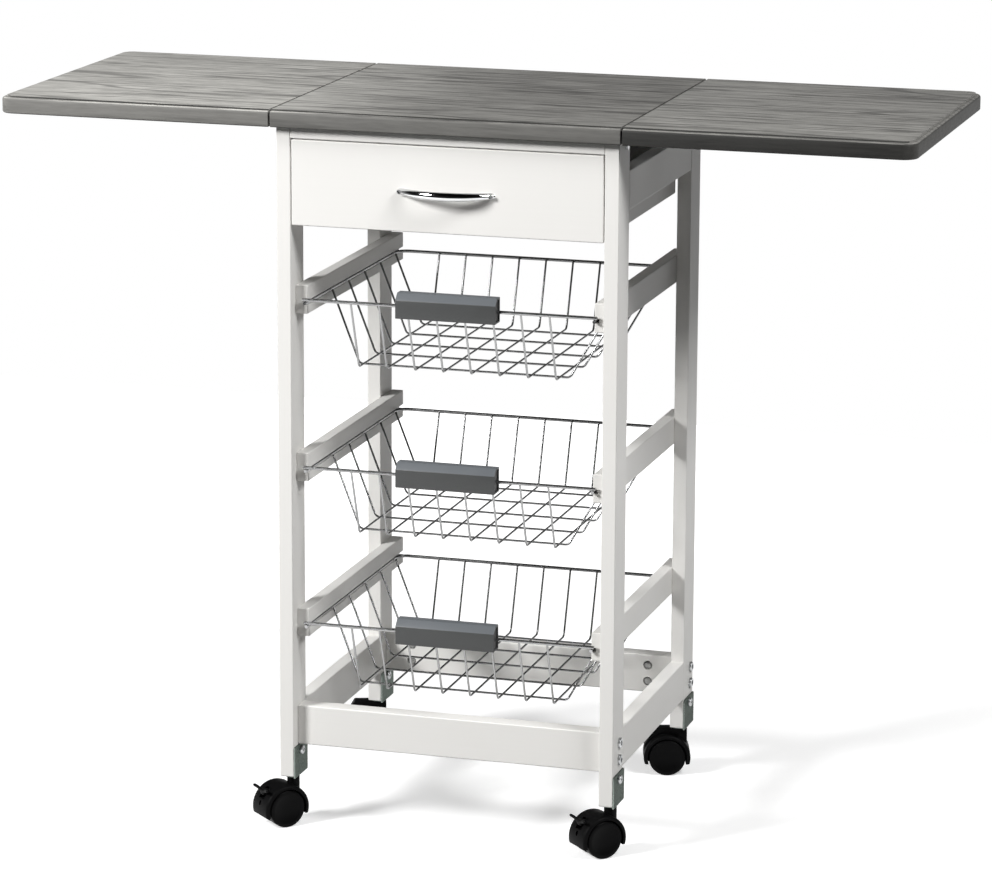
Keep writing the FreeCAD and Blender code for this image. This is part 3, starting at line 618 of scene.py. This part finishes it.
def makePanel(node, body, seams):
    low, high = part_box(node)
    drawnLow, drawnHigh = low.copy(), high.copy()
    for side in seams:
        if side < 0:
            drawnLow.x -= panel["pastSeam"]
        else:
            drawnHigh.x += panel["pastSeam"]
    drawnHigh.z -= panel["step"]
    piece = addBlock(f"{node}_board", drawnLow, drawnHigh)
    openMesh(piece)
    pick("EDGE", lambda edge: abs(edge.verts[0].co.z - edge.verts[1].co.z) > near)
    bpy.ops.mesh.bevel(offset=panel["cornerRound"], segments=2 * panel["steps"], affect="EDGES")
    pick("FACE", lambda face: face.normal.z > square)
    bpy.ops.mesh.inset(thickness=panel["lip"])
    bpy.ops.mesh.extrude_region_move(TRANSFORM_OT_translate={"value": (0, 0, panel["step"])})
    outer = {high.z: panel["stepRound"], drawnHigh.z: panel["lipRound"], low.z: panel["underRound"]}
    for level, size in outer.items():
        pick("EDGE", lambda edge: (
            sharp(edge, panel["edgeAngle"]) and edge.is_convex and abs(middle(edge).z - level) < near))
        bpy.ops.mesh.bevel(offset=size, segments=panel["steps"], affect="EDGES")
    for side in seams:
        bpy.ops.mesh.select_all(action="SELECT")
        cutX = low.x if side < 0 else high.x
        bpy.ops.mesh.bisect(plane_co=(cutX, 0, 0), plane_no=(side, 0, 0), use_fill=True, clear_outer=True)
        pick("FACE", lambda face: face.normal.x * side > square and abs(middle(face).x - cutX) < near)
        bpy.ops.mesh.region_to_loop()
        bpy.ops.mesh.bevel(offset=panel["seamRound"], segments=panel["seamSteps"], affect="EDGES")
    closeMesh()
    fitOut(piece, body, tops[node], [node])
    piece.data.materials.append(stepPaintedShade[node])
    piece.data.materials.append(capPaintedLight[node])
    # painted shade on the step's risers along the long edges, the top's painted light on those at the ends
    for face in piece.data.polygons:
        if abs(face.normal.z) < panel["upright"] and face.center.z > drawnHigh.z:
            face.material_index = 1 if abs(face.normal.y) > abs(face.normal.x) else 2


makePanel("top_center", "cart", (-1, 1))
makePanel("leaf_left", "leaf_left", (1,))
makePanel("leaf_right", "leaf_right", (-1,))
print("worktop panels made")


# bow handle

bow = {"thick": 0.0070, "tall": 0.0090, "endTall": 0.0064, "sides": 32, "steps": 40}


def makeHandle():
    low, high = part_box("drawer_handle")
    reach = high.y - low.y - bow["thick"] / 2
    chord = high.x - low.x - 2 * bow["thick"]
    radius = (chord ** 2 / 4 + reach ** 2) / (2 * reach)
    # the bar goes on until its outer side meets the drawer front
    rise = radius * math.cos(math.asin(chord / 2 / radius))
    half = math.acos(rise / (radius + bow["thick"] / 2))
    level = (low.z + high.z) / 2
    hub = Vector((0, low.y + bow["thick"] / 2 + radius, level))
    front = hub - Vector((0, radius, 0))
    bpy.ops.object.select_all(action="DESELECT")
    bpy.ops.mesh.primitive_circle_add(
        vertices=bow["sides"], radius=bow["tall"] / 2, location=front, rotation=(0, math.pi / 2, 0))
    piece = bpy.context.object
    piece.name = "bow_handle"
    bpy.ops.object.transform_apply(location=True, rotation=True, scale=True)
    openMesh(piece)
    bpy.ops.mesh.select_all(action="SELECT")
    bpy.ops.transform.resize(value=(1, bow["thick"] / bow["tall"], 1), center_override=front)
    bpy.ops.transform.rotate(value=half, orient_axis="Z", center_override=hub)
    bpy.ops.mesh.spin(steps=bow["steps"], angle=-2 * half, center=hub, axis=(0, 0, 1))
    # the bar thins towards its ends
    for step in range(bow["steps"] + 1):
        turn = half * (1 - 2 * step / bow["steps"])
        ring = hub + Vector((math.sin(turn), -math.cos(turn), 0)) * radius
        tall = 1 - (1 - bow["endTall"] / bow["tall"]) * (turn / half) ** 2
        pick("VERT", lambda vert: (
            abs(math.atan2(vert.co.x, hub.y - vert.co.y) - turn) < half / bow["steps"]))
        bpy.ops.transform.resize(value=(1, 1, tall), center_override=ring)
    pick("EDGE", lambda edge: edge.is_boundary)
    bpy.ops.mesh.fill()
    bpy.ops.mesh.select_all(action="SELECT")
    bpy.ops.mesh.normals_make_consistent(inside=False)
    closeMesh()
    fitOut(piece, "drawer", chrome, ["drawer_handle"])


makeHandle()
print("handle made")


# basket grips

gripShape = {
    "slope": 0.007,
    "round": 0.0007,
    "wall": 0.0025,
    "hollow": 0.009,
    "endWall": 0.0011,
    "endDeep": 0.0014,
    "steps": 3,
    # square metres, less than the face that is hollowed
    "underArea": 0.0005,
    "endArea": 0.0001,
    # the lighter slope, painted light: how far down it goes, in slopes, and how far it faces up
    "topDown": 1.1,
    "topFacing": 0.5,
}


def makeGrip(level):
    low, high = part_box(f"basket_grip_{level}")
    piece = addBlock(f"grip_{level}", low, high)
    openMesh(piece)
    pick("EDGE", lambda edge: middle(edge).z > high.z - near and middle(edge).y < low.y + near)
    bpy.ops.mesh.bevel(offset=gripShape["slope"], segments=1, affect="EDGES")
    pick("EDGE", sharp)
    bpy.ops.mesh.bevel(offset=gripShape["round"], segments=gripShape["steps"], affect="EDGES")
    pick("FACE", lambda face: face.normal.z < -square and face.calc_area() > gripShape["underArea"])
    bpy.ops.mesh.inset(thickness=gripShape["wall"])
    bpy.ops.mesh.extrude_region_move(TRANSFORM_OT_translate={"value": (0, 0, gripShape["hollow"])})
    # a shallow hollow in each end
    for side in sides.values():
        pick("FACE", lambda face: face.normal.x * side > square and face.calc_area() > gripShape["endArea"])
        bpy.ops.mesh.inset(thickness=gripShape["endWall"])
        inwards = (-side * gripShape["endDeep"], 0, 0)
        bpy.ops.mesh.extrude_region_move(TRANSFORM_OT_translate={"value": inwards})
    closeMesh()
    fitOut(piece, f"basket_{level}", grip, [f"basket_grip_{level}"])
    piece.data.materials.append(gripPaintedLight)
    piece.data.materials.append(gripPaintedShade)
    topFrom = high.z - gripShape["topDown"] * gripShape["slope"]
    inside = gripShape["endDeep"] / 2
    for face in piece.data.polygons:
        # painted light: the upper slope takes the lighter copy
        if face.center.z > topFrom and face.normal.z > gripShape["topFacing"]:
            face.material_index = 1
        # painted shade: the floor of each end hollow is near black
        if abs(face.normal.x) > square and low.x + inside < face.center.x < high.x - inside:
            face.material_index = 2


for level in levels:
    makeGrip(level)
print("grips made")


# casters, modelled about the swivel axis with the wheels trailing towards -x

caster = {
    "sides": 96,
    "trail": 0.015,
    "axleUp": 0.020,
    "hoodRadius": 0.0255,
    "hoodWide": 0.0340,
    "hoodCut": 0.013,
    "hoodRound": 0.0030,
    "roundSteps": 4,
    "smallSteps": 3,
    "pocketRadius": 0.0215,
    "pocketDeep": 0.0125,
    "neckRadius": 0.0066,
    "neckTop": 0.053,
    "neckRound": 0.0012,
    "wheelRadius": 0.020,
    "wheelWide": 0.0116,
    "wheelNear": 0.0048,
    "wheelRound": 0.0018,
    "rimWide": 0.0030,
    "rimSlope": 0.00075,
    "rimDeep": 0.0005,
    "spineWide": 0.0135,
    "spineTop": 0.0515,
    "spineBack": 0.0400,
    "spineSlope": (0.0115, 0.0195),
    "spineRound": 0.0012,
}
brake = {
    "angle": 50.0,
    "pinOut": 0.0235,
    "bossWide": 0.0088,
    "bossLong": 0.0078,
    "bossBack": 0.0015,
    "bossTall": 0.0064,
    "wingFrom": 0.0046,
    # steps of each wing: back, out, up, and how much it thickens or thins
    "wing": (
        (0.0008, 0.0045, 0.0017, 1.05),
        (0.0012, 0.0045, 0.0008, 1.05),
        (0.0006, 0.0024, 0.0004, 0.80),
    ),
    "slotWide": 0.0108,
    "slotUp": 0.0038,
    "slotDown": 0.0074,
    "eyeRadius": 0.0019,
    "eyeTall": 1.5,
    "eyeDown": 0.0112,
    "eyeDeep": 0.02,
    "eyeSides": 24,
    "softLevels": 2,
}


def brakePin():
    turn = math.radians(brake["angle"])
    return Vector((-caster["trail"] - brake["pinOut"] * math.cos(turn), 0,
                   caster["axleUp"] + brake["pinOut"] * math.sin(turn)))


def makeBrake(name):
    # a boss on the pin with a wing to each side
    pin = brakePin()
    half = Vector((0, brake["bossWide"] / 2, brake["bossTall"] / 2))
    low = pin - half - Vector((brake["bossLong"], 0, 0))
    high = pin + half + Vector((brake["bossBack"], 0, 0))
    piece = addBlock(name, low, high)
    openMesh(piece)
    bpy.ops.mesh.select_all(action="SELECT")
    rootX = pin.x - brake["wingFrom"]
    bpy.ops.mesh.bisect(plane_co=(rootX, 0, 0), plane_no=(1, 0, 0))
    # the wings leave the upper half, so that they clear the hood when the lever is down
    bpy.ops.mesh.select_all(action="SELECT")
    bpy.ops.mesh.bisect(plane_co=pin, plane_no=(0, 0, 1))
    for side in (-1, 1):
        pick("FACE", lambda face: (
            face.normal.y * side > square and middle(face).x < rootX and middle(face).z > pin.z))
        for back, out, up, thin in brake["wing"]:
            bpy.ops.mesh.extrude_region_move(TRANSFORM_OT_translate={"value": (-back, side * out, up)})
            tip = middle(next(face for face in bmesh.from_edit_mesh(piece.data).faces if face.select))
            bpy.ops.transform.resize(value=(thin, 1, thin), center_override=tip)
    closeMesh()
    modifier = piece.modifiers.new("soften", "SUBSURF")
    modifier.levels = brake["softLevels"]
    modifier.render_levels = brake["softLevels"]
    bpy.ops.object.modifier_apply(modifier=modifier.name)
    return piece


def roundEnds(size, steps):
    pick("EDGE", lambda edge: sharp(edge, rimAngle))
    bpy.ops.mesh.bevel(offset=size, segments=steps, affect="EDGES")


def makeNeck():
    tall = caster["neckTop"] - caster["axleUp"]
    neck = addRound("neck", caster["neckRadius"], tall, (0, 0, caster["neckTop"] - tall / 2))
    openMesh(neck)
    roundEnds(caster["neckRound"], caster["smallSteps"])
    closeMesh()
    return neck


def makeSpine():
    # a flat-topped ridge between the wheels that slopes down behind
    half = caster["spineWide"] / 2
    back = Vector((-caster["spineBack"], -half, caster["axleUp"] - caster["hoodRadius"] / 2))
    front = Vector((caster["neckRadius"], half, caster["spineTop"]))
    spine = addBlock("spine", back, front)
    run, fall = caster["spineSlope"]
    openMesh(spine)
    bpy.ops.mesh.select_all(action="SELECT")
    bpy.ops.mesh.bisect(
        plane_co=(back.x + run, 0, front.z), plane_no=(-fall, 0, run), use_fill=True, clear_outer=True)
    roundEnds(caster["spineRound"], caster["smallSteps"])
    closeMesh()
    return spine


def makeHood(name, braked):
    axle = Vector((-caster["trail"], 0, caster["axleUp"]))
    piece = addRound(name, caster["hoodRadius"], caster["hoodWide"], axle, "Y", caster["sides"])
    openMesh(piece)
    roundEnds(caster["hoodRound"], caster["roundSteps"])
    closeMesh()
    combine(piece, makeNeck(), "UNION")
    if not braked:
        combine(piece, makeSpine(), "UNION")
    openMesh(piece)
    bpy.ops.mesh.select_all(action="SELECT")
    bpy.ops.mesh.bisect(
        plane_co=(0, 0, caster["hoodCut"]), plane_no=(0, 0, 1), use_fill=True, clear_inner=True)
    closeMesh()
    for side in (-1, 1):
        cheek = axle + Vector((0, side * caster["hoodWide"] / 2, 0))
        pocket = addRound(
            "pocket", caster["pocketRadius"], 2 * caster["pocketDeep"], cheek, "Y", caster["sides"])
        combine(piece, pocket, "DIFFERENCE")
    if braked:
        pin = brakePin()
        slotLow = pin - Vector((brake["bossLong"], brake["slotWide"] / 2, brake["slotDown"]))
        slotHigh = pin + Vector((brake["slotUp"], brake["slotWide"] / 2, brake["slotUp"]))
        combine(piece, addBlock("slot", slotLow, slotHigh), "DIFFERENCE")
        spot = pin - Vector((brake["eyeDeep"] / 2, 0, brake["eyeDown"]))
        eye = addRound("eye", brake["eyeRadius"], brake["eyeDeep"], spot, "X", brake["eyeSides"])
        openMesh(eye)
        bpy.ops.transform.resize(value=(1, 1, brake["eyeTall"]), center_override=spot)
        closeMesh()
        combine(piece, eye, "DIFFERENCE")
    return piece


def makeWheels(name):
    halves = []
    for side in (-1, 1):
        out = side * (caster["wheelNear"] + caster["wheelWide"] / 2)
        spot = Vector((-caster["trail"], out, caster["axleUp"]))
        wheel = addRound(
            f"{name}{side}", caster["wheelRadius"], caster["wheelWide"], spot, "Y", caster["sides"])
        openMesh(wheel)
        roundEnds(caster["wheelRound"], caster["roundSteps"])
        pick("FACE", lambda face: face.normal.y * side > square and len(face.verts) == caster["sides"])
        bpy.ops.mesh.inset(thickness=caster["rimWide"])
        bpy.ops.mesh.inset(thickness=caster["rimSlope"], depth=-caster["rimDeep"])
        closeMesh()
        halves.append(wheel)
    return joinAll(name, halves)


hoodModels = {"front": makeHood("hoodBraked", True), "rear": makeHood("hoodPlain", False)}
wheelModel = makeWheels("wheelPair")
brakeModel = makeBrake("brakeLever")
for corner in corners:
    swivel = joints[f"{corner}_swivel"]["pos_m"]
    roll = joints[f"{corner}_roll"]["axis"]
    heading = Matrix.Rotation(math.atan2(-roll[0], roll[1]), 4, "Z")
    stance = Matrix.Translation((swivel[0], swivel[1], 0)) @ heading
    hood = copyTo(hoodModels[corner.split("_")[0]], f"hood_{corner}", stance)
    fitOut(hood, f"caster_{corner}", hoodBlack, [f"caster_hood_{corner}"])
    wheels = copyTo(wheelModel, f"wheels_{corner}", stance)
    fitOut(wheels, f"wheels_{corner}", wheelBlack, [f"caster_wheels_{corner}"])
    if f"{corner}_brake" in joints:
        lever = copyTo(brakeModel, f"brake_{corner}", stance)
        fitOut(lever, f"brake_{corner}", hoodBlack, [f"caster_brake_{corner}"])
for model in (*hoodModels.values(), wheelModel, brakeModel):
    bpy.data.objects.remove(model)
print("casters made")


# bolts, nuts and screws

bolt = {
    "radius": 0.0055,
    "tall": 0.0030,
    "round": 0.0009,
    "socket": 0.0030,
    "socketDeep": 0.0022,
    "apart": 0.018,
    "sides": 36,
    "roundSteps": 3,
}


def makeBolt(name):
    # head of a socket bolt on the yz plane, facing +x
    piece = addRound(name, bolt["radius"], bolt["tall"], (bolt["tall"] / 2, 0, 0), "X", bolt["sides"])
    openMesh(piece)
    pick("EDGE", lambda edge: sharp(edge, rimAngle) and middle(edge).x > bolt["tall"] / 2)
    bpy.ops.mesh.bevel(offset=bolt["round"], segments=bolt["roundSteps"], affect="EDGES")
    closeMesh()
    hexagon = addRound("hexagon", bolt["socket"], 2 * bolt["socketDeep"], (bolt["tall"], 0, 0), "X", 6)
    return combine(piece, hexagon, "DIFFERENCE")


boltModel = makeBolt("boltModel")
heads = []
for end in ends:
    railLow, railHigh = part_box(f"foot_rail_{end}")
    middleRail = (railLow + railHigh) / 2
    for side, sign in sides.items():
        legLow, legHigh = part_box(f"leg_{end}_{side}")
        face = legHigh.x if sign > 0 else legLow.x
        for up in (-1, 1):
            place = Matrix.Translation((face, middleRail.y, middleRail.z + up * bolt["apart"] / 2))
            turn = Matrix.Rotation(0 if sign > 0 else math.pi, 4, "Z")
            heads.append(copyTo(boltModel, "bolt", place @ turn))
bpy.data.objects.remove(boltModel)
fitOut(joinAll("bolt_heads", heads), "cart", zinc, ["frame_bolts"])

# barrel nuts, a little thinner than their pockets, which leaves a dark ring
nut = {
    "radius": 0.005,
    "long": 0.014,
    "gap": 0.0009,
    "edgeRound": 0.0006,
    "sides": 36,
    "roundSteps": 2,
}
nutLow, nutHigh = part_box("barrel_nuts")
reach = Vector((nut["radius"], nut["long"] / 2, nut["radius"]))
nutModel = addRound("nutModel", nut["radius"] - nut["gap"], nut["long"], (0, 0, 0), "Y", nut["sides"])
openMesh(nutModel)
roundEnds(nut["edgeRound"], nut["roundSteps"])
closeMesh()
nuts = []
for x in (nutLow.x + reach.x, nutHigh.x - reach.x):
    for y in (nutLow.y + reach.y, nutHigh.y - reach.y):
        for z in (nutLow.z + reach.z, nutHigh.z - reach.z):
            nuts.append(copyTo(nutModel, "nut", Matrix.Translation((x, y, z))))
bpy.data.objects.remove(nutModel)
fitOut(joinAll("nut_barrels", nuts), "cart", nutZinc, ["barrel_nuts"])

panHead = {
    "radius": 0.0049,
    "tall": 0.0028,
    "dome": 0.0018,
    # the two arms of the cross, as wide in y and tall in z
    "slots": ((0.0052, 0.0012), (0.0012, 0.0052)),
    "slotDeep": 0.0015,
    "sides": 36,
    "domeSteps": 5,
}


def makePanHead(name):
    # cross slotted head on the yz plane, facing +x
    tall = panHead["tall"]
    piece = addRound(name, panHead["radius"], tall, (tall / 2, 0, 0), "X", panHead["sides"])
    openMesh(piece)
    pick("EDGE", lambda edge: sharp(edge, rimAngle) and middle(edge).x > tall / 2)
    bpy.ops.mesh.bevel(offset=panHead["dome"], segments=panHead["domeSteps"], affect="EDGES")
    closeMesh()
    for slotWide, slotTall in panHead["slots"]:
        low = Vector((tall - panHead["slotDeep"], -slotWide / 2, -slotTall / 2))
        high = Vector((2 * tall, slotWide / 2, slotTall / 2))
        combine(piece, addBlock("slot", low, high), "DIFFERENCE")
    return piece


bracket = {"thick": 0.0015, "plateInset": 0.0045, "cornerRound": 0.0025, "roundSteps": 4}
bracketLow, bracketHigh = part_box("caster_brackets")
screwLow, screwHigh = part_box("caster_bracket_screws")


def makeBracket(corner):
    # an ear on the leg's right face and a plate under the leg
    legLow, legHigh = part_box(f"leg_{corner}")
    ear = addBlock("ear", Vector((legHigh.x, legLow.y, bracketLow.z)),
                   Vector((legHigh.x + bracket["thick"], legHigh.y, bracketHigh.z)))
    openMesh(ear)
    pick("EDGE", lambda edge: edge.verts[0].co.x != edge.verts[1].co.x and middle(edge).z > legLow.z)
    bpy.ops.mesh.bevel(offset=bracket["cornerRound"], segments=bracket["roundSteps"], affect="EDGES")
    closeMesh()
    inset = bracket["plateInset"]
    plateLow = Vector((legLow.x + inset, legLow.y + inset, bracketLow.z))
    plateHigh = Vector((legHigh.x, legHigh.y - inset, bracketLow.z + bracket["thick"]))
    return combine(ear, addBlock("plate", plateLow, plateHigh), "UNION")


screwModel = makePanHead("screwModel")
heads = []
plates = []
for corner in corners:
    plates.append(makeBracket(corner))
    legLow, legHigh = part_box(f"leg_{corner}")
    spot = (legHigh.x + bracket["thick"], (legLow.y + legHigh.y) / 2, (screwLow.z + screwHigh.z) / 2)
    heads.append(copyTo(screwModel, "screw", Matrix.Translation(spot)))
bpy.data.objects.remove(screwModel)
fitOut(joinAll("bracket_screws", heads), "cart", zinc, ["caster_bracket_screws"])
fitOut(joinAll("bracket_plates", plates), "cart", plateZinc, ["caster_brackets"])
print("bolts and screws made")


# stage, light and camera

stage = {
    "floorSize": 3.6,
    "floorRough": 0.9,
    "floorSeen": 0.86,
    "floorBounce": 0.15,
    # glow of the paper, from near to far, and the distances of both
    "floorLift": (0.42, 1.0),
    "floorReach": (0.5, 1.7),
    "ambient": 0.09,
    # degrees over which the mirrored dome darkens upwards
    "dome": (0.5, 14.0),
    "ceilingShade": 0.04,
    "room": (-0.35, 0.25),
    "lamps": [
        # place, size, watts
        ((-2.2, -2.4, 2.3), 0.9, 160.0),
        ((3.0, -1.4, 3.4), 1.3, 132.0),
    ],
    "aim": (0.0, 0.0, 0.42),
}


def makeFloor():
    bpy.ops.object.select_all(action="DESELECT")
    bpy.ops.mesh.primitive_plane_add(size=stage["floorSize"])
    floor = bpy.context.object
    floor.name = "floor"
    paper = Finish("floorPaper")
    shown = paper.rays("Camera", "Glossy", "Transmission")
    distance = paper.node("ShaderNodeVectorMath", {"operation": "LENGTH"}, [paper.place], output="Value")
    lift = paper.span(distance, stage["floorReach"], stage["floorLift"], "SMOOTHSTEP")
    paper.set(
        color=shown * (stage["floorSeen"] - stage["floorBounce"]) + stage["floorBounce"],
        roughness=stage["floorRough"],
        specular=0.0,
        glow=shown * lift,
        glowStrength=1.0)
    floor.data.materials.append(paper.material)


def makeLight():
    world = bpy.data.worlds.new("studio")
    bpy.context.scene.world = world
    world.use_nodes = True
    sky = Shader(world.node_tree)
    direction = sky.node("ShaderNodeTexCoord", output="Generated")
    heights = [math.sin(math.radians(angle)) for angle in stage["dome"]]
    dome = sky.span(sky.part(direction, "Z"), heights, (1.0, stage["ceilingShade"]))
    # the mirrored room is dark on the camera's side
    backdrop = sky.span(sky.part(direction, "Y"), stage["room"], (stage["ceilingShade"], 1.0))
    seen = sky.rays("Camera")
    mirrored = sky.rays("Glossy", "Transmission")
    strength = seen + mirrored * dome * backdrop + (1 - seen - mirrored) * stage["ambient"]
    background = sky.tree.nodes["Background"]
    background.inputs["Color"].default_value = (1, 1, 1, 1)
    sky.tree.links.new(strength.socket, background.inputs["Strength"])
    for index, (spot, size, watts) in enumerate(stage["lamps"]):
        data = bpy.data.lights.new(f"softbox{index}", "AREA")
        data.size = size
        data.energy = watts
        lamp = bpy.data.objects.new(data.name, data)
        bpy.context.scene.collection.objects.link(lamp)
        lamp.location = spot
        lamp.rotation_euler = (Vector(stage["aim"]) - Vector(spot)).to_track_quat("-Z", "Y").to_euler()
    bpy.context.scene.view_settings.view_transform = "Standard"


photoView = {
    "azimuth": 16.651,
    "pitch": 13.072,
    "roll": 0.275,
    "distance": 4.5799,
    "target": (0.00416, 0.0, 0.39455),
    "focalPixels": 4350.84,
    "imageWidth": 992,
    "sensor": 36.0,
    "clipEnd": 200.0,
}


def makeCamera():
    azimuth, pitch, roll = (math.radians(photoView[key]) for key in ("azimuth", "pitch", "roll"))
    ahead = Vector((
        -math.sin(azimuth) * math.cos(pitch), math.cos(azimuth) * math.cos(pitch), -math.sin(pitch)))
    level = Vector((math.cos(azimuth), math.sin(azimuth), 0))
    upright = level.cross(ahead)
    right = level * math.cos(roll) + upright * math.sin(roll)
    up = right.cross(ahead)
    data = bpy.data.cameras.new("camera")
    data.sensor_width = photoView["sensor"]
    data.lens = photoView["focalPixels"] * photoView["sensor"] / photoView["imageWidth"]
    data.clip_end = photoView["clipEnd"]
    camera = bpy.data.objects.new("camera", data)
    bpy.context.scene.collection.objects.link(camera)
    turn = Matrix((right, up, -ahead)).transposed().to_4x4()
    spot = Vector(photoView["target"]) - ahead * photoView["distance"]
    camera.matrix_world = Matrix.Translation(spot) @ turn
    bpy.context.scene.camera = camera


makeFloor()
makeLight()
makeCamera()
print("stage, light and camera ready")
